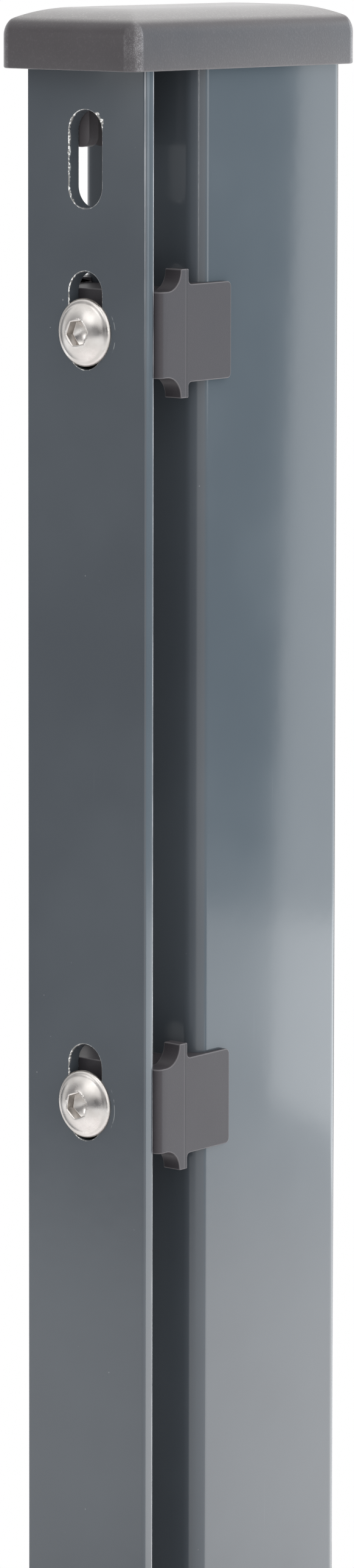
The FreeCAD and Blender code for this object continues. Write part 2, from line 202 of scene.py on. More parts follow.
class Tree:
    """Short ways to add nodes to a tree and join them."""

    def __init__(self, tree):
        self.tree = tree

    def feed(self, socket, value):
        if isinstance(value, bpy.types.NodeSocket):
            self.tree.links.new(value, socket)
        else:
            socket.default_value = value

    def add(self, kind, settings=None, **inputs):
        node = self.tree.nodes.new(kind)
        for name, value in (settings or {}).items():
            setattr(node, name, value)
        for name, value in inputs.items():
            self.feed(node.inputs[name.replace("_", " ")], value)
        return node

    def math(self, operation, *values):
        node = self.tree.nodes.new("ShaderNodeMath")
        node.operation = operation
        for socket, value in zip(node.inputs, values):
            self.feed(socket, value)
        return node.outputs[0]

    def length(self, first, second):
        """Length of the slope over two sides at right angles."""
        squares = [self.math("POWER", side, 2.0) for side in (first, second)]
        return self.math("SQRT", self.math("ADD", *squares))

    def ramp(self, value, low, high, to_low=0.0, to_high=1.0):
        """Map a value smoothly from one range to another."""
        return self.add(
            "ShaderNodeMapRange", {"interpolation_type": "SMOOTHSTEP"}, Value=value,
            From_Min=low, From_Max=high, To_Min=to_low, To_Max=to_high,
        ).outputs[0]

    def vectors(self, operation, *values):
        node = self.tree.nodes.new("ShaderNodeVectorMath")
        node.operation = operation
        for socket, value in zip(node.inputs, values):
            self.feed(socket, value)
        return node.outputs

    def blend(self, share, first, second):
        """Mix two colours."""
        node = self.tree.nodes.new("ShaderNodeMix")
        node.data_type = "RGBA"
        self.feed(node.inputs["Factor"], share)
        self.feed(node.inputs[6], first)
        self.feed(node.inputs[7], second)
        return node.outputs[2]

    def noise(self, place, scale, detail=2.0, roughness=0.5):
        return self.add(
            "ShaderNodeTexNoise", Vector=place, Scale=scale, Detail=detail, Roughness=roughness
        ).outputs[0]


def new_group(name, kind, inputs, outputs):
    """An empty node group with named sockets; returns its helper and its input and output nodes."""
    group = bpy.data.node_groups.new(name, kind)
    for label, socket_type, value in inputs:
        socket = group.interface.new_socket(label, in_out="INPUT", socket_type="NodeSocket" + socket_type)
        if value is not None:
            socket.default_value = value
    for label, socket_type in outputs:
        group.interface.new_socket(label, in_out="OUTPUT", socket_type="NodeSocket" + socket_type)
    tree = Tree(group)
    return tree, group.nodes.new("NodeGroupInput").outputs, group.nodes.new("NodeGroupOutput").inputs


def grown(name, group, values):
    """Run a Geometry Nodes tree with named values and keep the result as a plain mesh."""
    piece = as_object(name, bpy.data.meshes.new(name))
    modifier = piece.modifiers.new(name, "NODES")
    modifier.node_group = group
    for socket in group.interface.items_tree:
        if socket.in_out == "INPUT" and socket.name in values:
            modifier[socket.identifier] = values[socket.name]
    return applied(piece)


def section_nodes(tree, width, depth, corner):
    """A rounded rectangle as a flat curve."""
    outline = tree.add("GeometryNodeCurvePrimitiveQuadrilateral", Width=width, Height=depth).outputs[0]
    rounded = tree.add("GeometryNodeFilletCurve", {"mode": "POLY"}, Curve=outline, Count=10, Radius=corner)
    return rounded.outputs[0]


def pushed(tree, curve, length, fill="NGONS"):
    """Fill a flat curve and push it along +Z into a closed solid."""
    face = tree.add("GeometryNodeFillCurve", {"mode": fill}, Curve=curve).outputs[0]
    up = tree.add("ShaderNodeCombineXYZ", Z=length).outputs[0]
    sides = tree.add("GeometryNodeExtrudeMesh", Mesh=face, Offset=up, Individual=False).outputs[0]
    base = tree.add("GeometryNodeFlipFaces", Mesh=face).outputs[0]
    both = tree.add("GeometryNodeJoinGeometry")
    tree.feed(both.inputs[0], sides)
    tree.feed(both.inputs[0], base)
    return tree.add("GeometryNodeMergeByDistance", Geometry=both.outputs[0], Distance=1e-6).outputs[0]


def cuts_up_the_post(tree, solid, cutter, count, pitch, place):
    """Repeat a cutter up the post and take it out of a solid."""
    step = tree.add("ShaderNodeCombineXYZ", Z=pitch).outputs[0]
    line = tree.add("GeometryNodeMeshLine", Count=count, Start_Location=place, Offset=step).outputs[0]
    row = tree.add("GeometryNodeInstanceOnPoints", Points=line, Instance=cutter).outputs[0]
    real = tree.add("GeometryNodeRealizeInstances", Geometry=row).outputs[0]
    cut = tree.add("GeometryNodeMeshBoolean", {"operation": "DIFFERENCE", "solver": "EXACT"})
    tree.feed(cut.inputs["Mesh 1"], solid)
    tree.feed(cut.inputs["Mesh 2"], real)
    return cut.outputs[0]


def close_tree(tree, solid, material, result):
    """End a tree in plain mesh with its material."""
    real = tree.add("GeometryNodeRealizeInstances", Geometry=solid).outputs[0]
    dressed = tree.add("GeometryNodeSetMaterial", Geometry=real, Material=material).outputs[0]
    tree.feed(result["Geometry"], dressed)


def tube_tree():
    """Rounded rectangular tube with a hexagonal nut hole at each bolt."""
    tree, given, result = new_group(
        "rectangular tube", "GeometryNodeTree",
        [("Width", "Float", 0.04), ("Depth", "Float", 0.06), ("Wall", "Float", 0.002),
         ("Corner", "Float", 0.0045), ("Length", "Float", 1.1), ("Hole", "Float", 0.0131),
         ("Holes", "Int", 4), ("Lowest", "Float", 0.425), ("Pitch", "Float", 0.2),
         ("Material", "Material", None)],
        [("Geometry", "Geometry")],
    )
    outside = section_nodes(tree, given["Width"], given["Depth"], given["Corner"])
    wall_twice = tree.math("MULTIPLY", given["Wall"], 2.0)
    inside = section_nodes(
        tree, tree.math("SUBTRACT", given["Width"], wall_twice),
        tree.math("SUBTRACT", given["Depth"], wall_twice),
        tree.math("SUBTRACT", given["Corner"], given["Wall"]),
    )
    ring = tree.add("GeometryNodeJoinGeometry")
    tree.feed(ring.inputs[0], outside)
    tree.feed(ring.inputs[0], inside)
    tube = pushed(tree, ring.outputs[0], given["Length"], fill="TRIANGLES")
    across = tree.math("DIVIDE", given["Hole"], math.sqrt(3.0))
    hexagon = tree.add("GeometryNodeCurvePrimitiveCircle", Resolution=6, Radius=across).outputs[0]
    deep = tree.math("MULTIPLY", given["Wall"], 4.0)
    upright = tree.add(
        "GeometryNodeTransform", Geometry=pushed(tree, hexagon, deep), Rotation=(math.radians(90), 0, 0)
    ).outputs[0]
    front = tree.math("SUBTRACT", deep, tree.math("MULTIPLY_ADD", given["Depth"], 0.5, given["Wall"]))
    place = tree.add("ShaderNodeCombineXYZ", Y=front, Z=given["Lowest"]).outputs[0]
    cut = cuts_up_the_post(tree, tube, upright, given["Holes"], given["Pitch"], place)
    close_tree(tree, cut, given["Material"], result)
    return tree.tree


def strip_tree():
    """Flat bar with a slot at each bolt and one more near its top."""
    tree, given, result = new_group(
        "slotted strip", "GeometryNodeTree",
        [("Width", "Float", 0.04), ("Thickness", "Float", 0.004), ("Edge", "Float", 0.0009),
         ("Length", "Float", 0.7), ("Slot Width", "Float", 0.011), ("Slot Length", "Float", 0.025),
         ("Slots", "Int", 4), ("Lowest", "Float", 0.028), ("Pitch", "Float", 0.2), ("Top", "Float", 0.669),
         ("Material", "Material", None)],
        [("Geometry", "Geometry")],
    )
    outline = section_nodes(tree, given["Width"], given["Thickness"], given["Edge"])
    bar = pushed(tree, outline, given["Length"])
    slot = tree.add(
        "GeometryNodeCurvePrimitiveQuadrilateral", Width=given["Slot Width"], Height=given["Slot Length"]
    ).outputs[0]
    half = tree.math("MULTIPLY", given["Slot Width"], 0.4999)
    rounded = tree.add(
        "GeometryNodeFilletCurve", {"mode": "POLY"}, Curve=slot, Count=16, Radius=half
    ).outputs[0]
    deep = tree.math("MULTIPLY", given["Thickness"], 3.0)
    cutter = tree.add(
        "GeometryNodeTransform", Geometry=pushed(tree, rounded, deep), Rotation=(math.radians(90), 0, 0)
    ).outputs[0]
    half_deep = tree.math("MULTIPLY", deep, 0.5)
    lowest = tree.add("ShaderNodeCombineXYZ", Y=half_deep, Z=given["Lowest"]).outputs[0]
    slotted = cuts_up_the_post(tree, bar, cutter, given["Slots"], given["Pitch"], lowest)
    top = tree.add("ShaderNodeCombineXYZ", Y=half_deep, Z=given["Top"]).outputs[0]
    close_tree(tree, cuts_up_the_post(tree, slotted, cutter, 1, 0.0, top), given["Material"], result)
    return tree.tree


def thread_tree():
    """A pointed ridge that winds along +Y, for a bolt's thread."""
    tree, given, result = new_group(
        "screw thread", "GeometryNodeTree",
        [("Core", "Float", 0.0042), ("Depth", "Float", 0.0007), ("Pitch", "Float", 0.0015),
         ("Turns", "Float", 20.0), ("Start", "Float", 0.004), ("Material", "Material", None)],
        [("Geometry", "Geometry")],
    )
    height = tree.math("MULTIPLY", given["Pitch"], given["Turns"])
    spiral = tree.add(
        "GeometryNodeCurveSpiral", Resolution=28, Rotations=given["Turns"], Start_Radius=given["Core"],
        End_Radius=given["Core"], Height=height,
    ).outputs[0]
    upright = tree.add("GeometryNodeSetCurveNormal", {"mode": "Z_UP"}, Curve=spiral).outputs[0]
    ridge = tree.add("GeometryNodeCurvePrimitiveCircle", Resolution=3, Radius=given["Depth"]).outputs[0]
    swept = tree.add(
        "GeometryNodeCurveToMesh", Curve=upright, Profile_Curve=ridge, Fill_Caps=True
    ).outputs[0]
    place = tree.add("ShaderNodeCombineXYZ", Y=given["Start"]).outputs[0]
    turned = tree.add(
        "GeometryNodeTransform", Geometry=swept, Rotation=(math.radians(-90), 0, 0), Translation=place
    ).outputs[0]
    close_tree(tree, turned, given["Material"], result)
    return tree.tree


# Finishes

def specks_group():
    """Scattered small spots, such as dust."""
    tree, given, result = new_group(
        "specks", "ShaderNodeTree",
        [("Vector", "Vector", None), ("Scale", "Float", 300.0), ("Size", "Float", 0.12),
         ("Share", "Float", 0.1)],
        [("Mask", "Float")],
    )
    cell = tree.add("ShaderNodeTexVoronoi", Vector=given["Vector"], Scale=given["Scale"])
    pick = tree.add("ShaderNodeSeparateColor", Color=cell.outputs["Color"]).outputs[0]
    chosen = tree.math("LESS_THAN", pick, given["Share"])
    spot = tree.ramp(cell.outputs["Distance"], given["Size"], 0.0)
    tree.feed(result["Mask"], tree.math("MULTIPLY", chosen, spot))
    return tree.tree


def grain_group():
    """Fine moulded or sprayed unevenness as a height, with a slow variation beside it."""
    tree, given, result = new_group(
        "surface grain", "ShaderNodeTree",
        [("Vector", "Vector", None), ("Fine", "Float", 2500.0), ("Broad", "Float", 60.0)],
        [("Height", "Float"), ("Cloud", "Float")],
    )
    tree.feed(result["Height"], tree.noise(given["Vector"], given["Fine"], 2.0, 0.6))
    tree.feed(result["Cloud"], tree.noise(given["Vector"], given["Broad"], 3.0, 0.55))
    return tree.tree


def scuffs_group():
    """Thin short hairlines that run up and down, thinned out into patches."""
    tree, given, result = new_group(
        "hairline scuffs", "ShaderNodeTree",
        [("Vector", "Vector", None), ("Spacing", "Float", 700.0), ("Reach", "Float", 14.0),
         ("Share", "Float", 0.4)],
        [("Mask", "Float")],
    )
    stretch = tree.add(
        "ShaderNodeCombineXYZ", X=given["Spacing"], Y=given["Spacing"], Z=given["Reach"]
    ).outputs[0]
    lines = tree.noise(tree.vectors("MULTIPLY", given["Vector"], stretch)[0], 1.0, 1.0, 0.4)
    thin = tree.ramp(lines, 0.74, 0.80)
    patches = tree.noise(given["Vector"], 30.0, 2.0)
    broken = tree.ramp(patches, tree.math("SUBTRACT", 0.9, given["Share"]), 0.85)
    tree.feed(result["Mask"], tree.math("MULTIPLY", thin, broken))
    return tree.tree


def place_group(tree, group, **inputs):
    return tree.add("ShaderNodeGroup", {"node_tree": group}, **inputs).outputs


def empty_material(name):
    material = bpy.data.materials.new(name)
    material.use_nodes = True
    material.node_tree.nodes.clear()
    return material, Tree(material.node_tree)


def new_material(name):
    """A material with one surface; returns it, its helper, the surface's inputs and the place on the piece."""
    material, tree = empty_material(name)
    surface = tree.add("ShaderNodeBsdfPrincipled")
    end = tree.add("ShaderNodeOutputMaterial")
    tree.feed(end.inputs["Surface"], surface.outputs[0])
    place = tree.add("ShaderNodeTexCoord").outputs["Object"]
    return material, tree, surface.inputs, place


def bumps(tree, *layers):
    """Chain of bumps, each (height, strength, distance in mm)."""
    normal = None
    for height, strength, distance in layers:
        node = tree.add("ShaderNodeBump", Height=height, Strength=strength, Distance=distance * MM)
        if normal is not None:
            tree.feed(node.inputs["Normal"], normal)
        normal = node.outputs[0]
    return normal


def slot_distance(tree, place):
    """Distance in mm from the nearest slot's rim, and the place across, up and behind the front face."""
    axes = tree.add("ShaderNodeSeparateXYZ", Vector=place).outputs
    across = tree.math("MULTIPLY", axes["X"], 1000.0)
    up = tree.math("MULTIPLY", axes["Z"], 1000.0)
    behind = tree.math("MULTIPLY_ADD", axes["Y"], 1000.0, -STRIP_FRONT)
    straight = (SLOT_LENGTH - SLOT_WIDTH) / 2
    least = None
    lowest = LOWEST_BOLT + SLOT_RISE
    heights = [lowest + BOLT_PITCH * number for number in range(len(BOLT_HEIGHTS))] + [TOP_SLOT]
    for height in heights:
        away = tree.math("SUBTRACT", tree.math("ABSOLUTE", tree.math("SUBTRACT", up, height)), straight)
        past = tree.math("MAXIMUM", away, 0.0)
        rim = tree.math("SUBTRACT", tree.length(across, past), SLOT_WIDTH / 2)
        least = rim if least is None else tree.math("MINIMUM", least, rim)
    return least, across, up, behind


def chips_group():
    """Bare metal where a coat has come off along the rim of a slot: most on its wall, a little in front. Glint
    is a fine speckle used for painted glints on the bare metal.
    """
    tree, given, result = new_group(
        "slot wear", "ShaderNodeTree",
        [("Vector", "Vector", None), ("Rim", "Float", 0.0), ("Behind", "Float", 0.0),
         ("Across", "Float", 0.0), ("Chipped", "Float", 0.0), ("Bare Depth", "Float", 0.42),
         ("Chip Reach", "Float", 0.25)],
        [("Bare", "Float"), ("Glint", "Float")],
    )
    ragged = tree.noise(given["Vector"], 420.0, 4.0, 0.65)
    wide = tree.ramp(ragged, 0.32, 0.66, 0.1, 1.7)
    left = tree.ramp(given["Across"], 0.5, -3.5)
    strong = tree.math("MAXIMUM", left, given["Chipped"])
    depth = tree.math("MULTIPLY", tree.math("MULTIPLY", given["Bare Depth"], strong), wide)
    on_wall = tree.ramp(tree.math("SUBTRACT", given["Behind"], depth), 0.12, -0.12)
    near_wall = tree.math("LESS_THAN", given["Rim"], 0.3)
    wall = tree.math("MULTIPLY", on_wall, near_wall)
    patchy = tree.ramp(ragged, 0.46, 0.68, 0.0, 1.7)
    reach = tree.math("MULTIPLY", tree.math("MULTIPLY", given["Chip Reach"], strong), patchy)
    reach = tree.math("ADD", reach, tree.math("MULTIPLY", given["Chipped"], wide))
    front = tree.ramp(tree.math("SUBTRACT", given["Rim"], reach), 0.06, -0.06)
    front = tree.math("MULTIPLY", front, tree.math("GREATER_THAN", given["Rim"], 0.02))
    tree.feed(result["Bare"], tree.math("MAXIMUM", wall, front))
    tree.feed(result["Glint"], tree.ramp(tree.noise(given["Vector"], 1500.0, 2.0, 0.6), 0.5, 0.62))
    return tree.tree


def edge_highlight_group():
    """A thin broken painted highlight along an upright edge, standing in for light caught by the rounded edge.
    """
    tree, given, result = new_group(
        "painted edge highlight", "ShaderNodeTree",
        [("Vector", "Vector", None), ("Across", "Float", 0.0), ("Behind", "Float", 0.0),
         ("Edge Across", "Float", 20.0), ("Edge Behind", "Float", 0.0), ("Reach", "Float", 0.2)],
        [("Mask", "Float")],
    )
    aside = tree.math("SUBTRACT", given["Across"], given["Edge Across"])
    deep = tree.math("SUBTRACT", given["Behind"], given["Edge Behind"])
    waver = tree.ramp(tree.noise(given["Vector"], 90.0, 3.0), 0.3, 0.7, 0.7, 1.3)
    uneven = tree.math("MULTIPLY", given["Reach"], waver)
    tree.feed(result["Mask"], tree.ramp(tree.math("DIVIDE", tree.length(aside, deep), uneven), 1.0, 0.4))
    return tree.tree


SPECKS = specks_group()
GRAIN = grain_group()
SCUFFS = scuffs_group()
CHIPS = chips_group()
EDGE_HIGHLIGHT = edge_highlight_group()


def coated_steel(name, with_slots):
    """Powder coat with orange peel, clouds, dust and hairlines, and on the strip zinc where it is worn, with
    painted glints on that zinc and painted highlights along the edges.
    """
    material, tree, surface, place = new_material(name)
    grain = place_group(tree, GRAIN, Vector=place, Fine=900.0, Broad=14.0)
    dust = place_group(tree, SPECKS, Vector=place, Scale=420.0, Size=0.10, Share=0.035)["Mask"]
    motes = place_group(tree, SPECKS, Vector=place, Scale=130.0, Size=0.045, Share=0.14)["Mask"]
    lines = place_group(tree, SCUFFS, Vector=place, Spacing=800.0, Reach=16.0, Share=0.4)["Mask"]
    coat = tree.blend(tree.ramp(grain["Cloud"], 0.3, 0.7), COAT_DARK, COAT_LIGHT)
    marks = tree.math("MAXIMUM", tree.math("MULTIPLY", dust, 0.55), tree.math("MULTIPLY", motes, 0.8))
    marks = tree.math("MAXIMUM", marks, tree.math("MULTIPLY", lines, 0.16))
    colour = tree.blend(marks, coat, DUST)
    roughness = tree.ramp(grain["Cloud"], 0.25, 0.75, COAT_ROUGH - 0.02, COAT_ROUGH + 0.03)
    roughness = tree.math("MULTIPLY_ADD", marks, 0.3, roughness)
    ripple = tree.noise(place, 230.0, 1.0, 0.4)
    relief = [(grain["Cloud"], 0.5, 0.05), (ripple, 0.5, 0.012), (grain["Height"], 0.5, 0.0009)]
    if with_slots:
        rim, across, up, behind = slot_distance(tree, place)
        from_chip = tree.length(
            tree.math("SUBTRACT", across, CHIP_ACROSS), tree.math("SUBTRACT", up, CHIP_UP)
        )
        wear = place_group(
            tree, CHIPS, Vector=place, Rim=rim, Behind=behind, Across=across,
            Chipped=tree.ramp(from_chip, 3.0, 1.6),
        )
        bare = wear["Bare"]
        rub_and_corner_highlight = rub_marks(tree, across, up, place)
        colour = tree.blend(tree.math("MULTIPLY", rub_and_corner_highlight, 0.55), colour, SCRAPED)
        beside = tree.math("ABSOLUTE", across)
        edges = 0.0
        # Painted highlights: thin light lines along the strip's upright edges.
        for inset, depth, reach, share, fade_low, fade_high in EDGE_HIGHLIGHTS:
            line = place_group(
                tree, EDGE_HIGHLIGHT, Vector=place, Across=beside, Behind=behind,
                Edge_Across=TUBE_WIDTH / 2 - inset, Edge_Behind=depth, Reach=reach,
            )["Mask"]
            line = tree.math("MULTIPLY", line, tree.ramp(up, fade_low, fade_high, 0.0, share))
            edges = tree.math("MAXIMUM", edges, line)
        colour = tree.blend(edges, colour, EDGE_HIGHLIGHT_COLOUR)
        # Bare zinc at the slot rims, speckled with painted glints.
        colour = tree.blend(bare, colour, tree.blend(wear["Glint"], ZINC_DULL, ZINC_PAINTED_GLINT))
        roughness = tree.math("MULTIPLY_ADD", bare, 0.24, roughness)
        relief.append((tree.math("MULTIPLY", bare, tree.math("SUBTRACT", wear["Glint"], 1.0)), 0.5, 0.05))
        tree.feed(surface["Metallic"], tree.math("MULTIPLY", bare, 0.5))
    tree.feed(surface["Base Color"], colour)
    tree.feed(surface["Roughness"], roughness)
    tree.feed(surface["Normal"], bumps(tree, *relief))
    surface["IOR"].default_value = 1.5
    return material


def rub_marks(tree, across, up, place):
    """Short arcs just outside each bolt head, where a turned head or a key has scraped the coat."""
    nearest = tree.math("ROUND", tree.math("DIVIDE", tree.math("SUBTRACT", up, LOWEST_BOLT), BOLT_PITCH))
    number = tree.math("MINIMUM", tree.math("MAXIMUM", nearest, 0.0), len(BOLT_HEIGHTS) - 1.0)
    above = tree.math("SUBTRACT", up, tree.math("MULTIPLY_ADD", number, BOLT_PITCH, LOWEST_BOLT))
    ring = tree.math("SUBTRACT", tree.length(across, above), RUB_RADIUS)
    wander = tree.math("MULTIPLY_ADD", tree.noise(place, 120.0, 1.0), 0.9, -0.45)
    thin = tree.ramp(tree.math("ABSOLUTE", tree.math("ADD", ring, wander)), 0.16, 0.03)
    right = tree.ramp(across, 8.7, 9.3)
    broken = tree.ramp(tree.noise(place, 420.0, 2.0), 0.40, 0.56)
    return tree.math("MULTIPLY", tree.math("MULTIPLY", thin, right), broken)


def moulded_plastic(
    name, dark, light, roughness, fine, relief, speck, gloss=0.5, bloom=0.0, cap_painted_light=False, holder_painted_light=False
):
    """Dyed moulded plastic with a fine grain and a few pale specks."""
    material, tree, surface, place = new_material(name)
    grain = place_group(tree, GRAIN, Vector=place, Fine=fine, Broad=70.0)
    spots = place_group(tree, SPECKS, Vector=place, Scale=380.0, Size=0.13, Share=speck)["Mask"]
    salt = tree.ramp(grain["Height"], 0.52, 0.72)
    shade = tree.math("MULTIPLY_ADD", salt, 0.45, tree.math("MULTIPLY", grain["Cloud"], 0.6))
    colour = tree.blend(shade, dark, light)
    colour = tree.blend(tree.math("MULTIPLY", spots, 0.8), colour, (0.5, 0.5, 0.5, 1.0))
    tree.feed(surface["Base Color"], colour)
    tree.feed(surface["Roughness"], tree.ramp(grain["Cloud"], 0.2, 0.8, roughness - 0.04, roughness + 0.05))
    layers = [(grain["Height"], relief, 0.1), (grain["Cloud"], 0.05, 0.6)]
    if cap_painted_light:
        paint_cap_light(tree, surface, place, colour, salt)
    if holder_painted_light:
        paint_holder_light(tree, surface, place, colour, layers)
    tree.feed(surface["Normal"], bumps(tree, *layers))
    surface["Specular IOR Level"].default_value = gloss
    surface["Sheen Weight"].default_value = bloom
    surface["Sheen Roughness"].default_value = 0.35
    surface["IOR"].default_value = 1.5
    return material


def paint_cap_light(tree, surface, place, colour, salt):
    """Paint a sheen on the cap's upper side and highlights on its four upright corners, and paint its legs
    lighter to match the light in the gap.
    """
    axes = tree.add("ShaderNodeSeparateXYZ", Vector=place).outputs
    across = tree.math("MULTIPLY", tree.math("ABSOLUTE", axes["X"]), 1000.0)
    middle = (CAP_FRONT + CAP_BACK) / 2
    along = tree.math("ABSOLUTE", tree.math("MULTIPLY_ADD", axes["Y"], 1000.0, -middle))
    up = tree.math("MULTIPLY_ADD", axes["Z"], 1000.0, -CAP_RIM)
    in_side = tree.math("SUBTRACT", across, CAP_SIDE - CAP_CORNER)
    in_front = tree.math("SUBTRACT", along, (CAP_BACK - CAP_FRONT) / 2 - CAP_CORNER)
    corner = tree.ramp(tree.math("MINIMUM", in_side, in_front), -0.15, 0.45)
    toward_side = tree.ramp(tree.math("SUBTRACT", in_side, in_front), -0.4, 1.3, 0.4, 1.0)
    uneven = tree.ramp(tree.noise(place, 240.0, 3.0, 0.6), 0.38, 0.6, 0.5, 1.0)
    # Painted highlight on the four upright corners, stronger towards the side, with a fine sparkle; it stands
    # in for light caught by the corners.
    rub_and_corner_highlight = tree.math("MULTIPLY", tree.math("MULTIPLY", corner, toward_side), tree.ramp(up, 13.0, 9.0))
    corner_sparkle = tree.ramp(tree.noise(place, 3400.0, 2.0, 0.6), 0.46, 0.62)
    grained = tree.math("MULTIPLY_ADD", corner_sparkle, 0.6, 0.34)
    rub_and_corner_highlight = tree.math("MULTIPLY", tree.math("MULTIPLY", rub_and_corner_highlight, uneven), grained)
    colour = tree.blend(tree.math("MULTIPLY", rub_and_corner_highlight, 0.6), colour, CAP_CORNER_HIGHLIGHT)
    # Painted sheen: the upper side above the shoulder is lighter, standing in for light glancing off the top.
    top = tree.ramp(up, CAP_SKIRT + 3.3, CAP_SKIRT + 4.9)
    top_sheen_share = tree.math("MULTIPLY", top, tree.math("MULTIPLY_ADD", salt, 0.25, 0.42))
    colour = tree.blend(top_sheen_share, colour, CAP_TOP_PAINTED_SHEEN)
    # Painted light: below the rim the legs and key are lighter, to match the light that reaches the gap.
    below = tree.ramp(up, 0.6, -0.6)
    colour = tree.blend(tree.math("MULTIPLY", below, 0.7), colour, CAP_LEG_PAINTED_LIGHT)
    tree.feed(surface["Base Color"], colour)


def paint_holder_light(tree, surface, place, colour, relief):
    """Paint highlights on a holder's rounded edges and on a ridge beside the fine fold that runs down behind
    its ears, and a painted shade line with a dent in that fold.
    """
    edge = tree.add("ShaderNodeAttribute", {"attribute_name": "edge"}).outputs["Fac"]
    axes = tree.add("ShaderNodeSeparateXYZ", Vector=place).outputs
    behind = tree.math("MULTIPLY_ADD", axes["Y"], 1000.0, -HOLDER_FOLD)
    outside = tree.math("GREATER_THAN", tree.math("ABSOLUTE", axes["X"]), (TUBE_WIDTH / 2 + 1.4) * MM)
    # Painted shade: a dark line along the fold behind the ears.
    line = tree.math("MULTIPLY", tree.ramp(tree.math("ABSOLUTE", behind), 0.26, 0.05), outside)
    before = tree.math("ABSOLUTE", tree.math("ADD", behind, 0.35))
    ridge = tree.math("MULTIPLY", tree.ramp(before, 0.3, 0.05), outside)
    # Painted highlights on the rounded edge faces and on a narrow ridge just in front of the fold.
    colour = tree.blend(tree.math("MULTIPLY", edge, 0.6), colour, HOLDER_EDGE_HIGHLIGHT)
    colour = tree.blend(tree.math("MULTIPLY", ridge, 0.25), colour, HOLDER_EDGE_HIGHLIGHT)
    colour = tree.blend(tree.math("MULTIPLY", line, 0.55), colour, HOLDER_CREASE_SHADE)
    tree.feed(surface["Base Color"], colour)
    relief.append((line, -0.5, 0.1))


def stainless_steel(name, dark, light, roughness):
    """Tumbled steel, a little uneven in shade and gloss."""
    material, tree, surface, place = new_material(name)
    grain = place_group(tree, GRAIN, Vector=place, Fine=3200.0, Broad=260.0)
    stain = tree.ramp(tree.noise(place, 300.0, 3.0, 0.6), 0.3, 0.75, 0.0, 0.5)
    tree.feed(surface["Base Color"], tree.blend(stain, light, dark))
    tree.feed(surface["Roughness"], tree.ramp(grain["Cloud"], 0.3, 0.7, roughness - 0.05, roughness + 0.06))
    surface["Metallic"].default_value = 1.0
    dents = tree.noise(place, 1500.0)
    tree.feed(surface["Normal"], bumps(tree, (grain["Height"], 0.06, 0.05), (dents, 0.05, 0.05)))
    return material


# Where the top slot is chipped, and how far outside a bolt's axis its scrape runs
CHIP_ACROSS, CHIP_UP = 4.2, 1079.0
RUB_RADIUS = 10.1
# Painted highlights along the strip's edges: inset from its side, depth behind its front, reach, share,
# heights of the fade
EDGE_HIGHLIGHTS = [
    (0.1, 3.75, 0.55, 0.95, 400.0, 401.0),
    (0.3, 0.3, 0.22, 0.55, 1000.0, 1080.0),
    (0.0, 1.3, 0.5, 0.16, 990.0, 1070.0),
]
COAT_DARK = (0.058, 0.068, 0.078, 1.0)
COAT_LIGHT = (0.070, 0.082, 0.093, 1.0)
COAT_ROUGH = 0.10
EDGE_HIGHLIGHT_COLOUR = (0.42, 0.44, 0.46, 1.0)
SCRAPED = (0.36, 0.38, 0.38, 1.0)
DUST = (0.42, 0.43, 0.43, 1.0)
ZINC_DULL = (0.26, 0.26, 0.25, 1.0)
ZINC_PAINTED_GLINT = (0.95, 0.95, 0.92, 1.0)
CAP_CORNER_HIGHLIGHT = (0.36, 0.36, 0.37, 1.0)
CAP_TOP_PAINTED_SHEEN = (0.30, 0.30, 0.285, 1.0)
CAP_LEG_PAINTED_LIGHT = (0.085, 0.078, 0.082, 1.0)
HOLDER_EDGE_HIGHLIGHT = (0.15, 0.145, 0.15, 1.0)
HOLDER_CREASE_SHADE = (0.02, 0.02, 0.022, 1.0)

strip_coat = coated_steel("strip powder coat", True)
tube_coat = coated_steel("tube powder coat", False)
cap_plastic = moulded_plastic(
    "grained cap plastic", dark=(0.033, 0.029, 0.032, 1.0), light=(0.062, 0.056, 0.060, 1.0),
    roughness=0.42, fine=1900.0, relief=0.35, speck=0.05, bloom=0.4, cap_painted_light=True,
)
holder_plastic = moulded_plastic(
    "smooth holder plastic", dark=(0.044, 0.041, 0.045, 1.0), light=(0.056, 0.052, 0.057, 1.0),
    roughness=0.42, fine=3000.0, relief=0.12, speck=0.012, gloss=0.22, holder_painted_light=True,
)
bolt_steel = stainless_steel(
    "stainless bolt steel", dark=(0.545, 0.512, 0.48, 1.0), light=(0.69, 0.662, 0.635, 1.0), roughness=0.30
)
nut_steel = stainless_steel(
    "zinc plated steel", dark=(0.44, 0.44, 0.43, 1.0), light=(0.62, 0.62, 0.60, 1.0), roughness=0.38
)


# Pieces

def finish_piece(piece, node, material):
    piece.data.materials.clear()
    piece.data.materials.append(material)
    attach(piece, "root")
    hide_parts(node)


def shift_mesh(piece, offset):
    piece.data.transform(Matrix.Translation(Vector(offset) * MM))


def make_tube():
    piece = grown("tube", tube_tree(), {
        "Width": TUBE_WIDTH * MM, "Depth": TUBE_DEPTH * MM, "Wall": TUBE_WALL * MM,
        "Corner": TUBE_CORNER * MM, "Length": POST_LENGTH * MM, "Hole": NUT_HOLE * MM,
        "Holes": len(BOLT_HEIGHTS), "Lowest": LOWEST_BOLT * MM, "Pitch": BOLT_PITCH * MM,
    })
    clean(piece)
    soften(piece, 0.3, steps=2)
    finish_piece(piece, "post_tube", tube_coat)


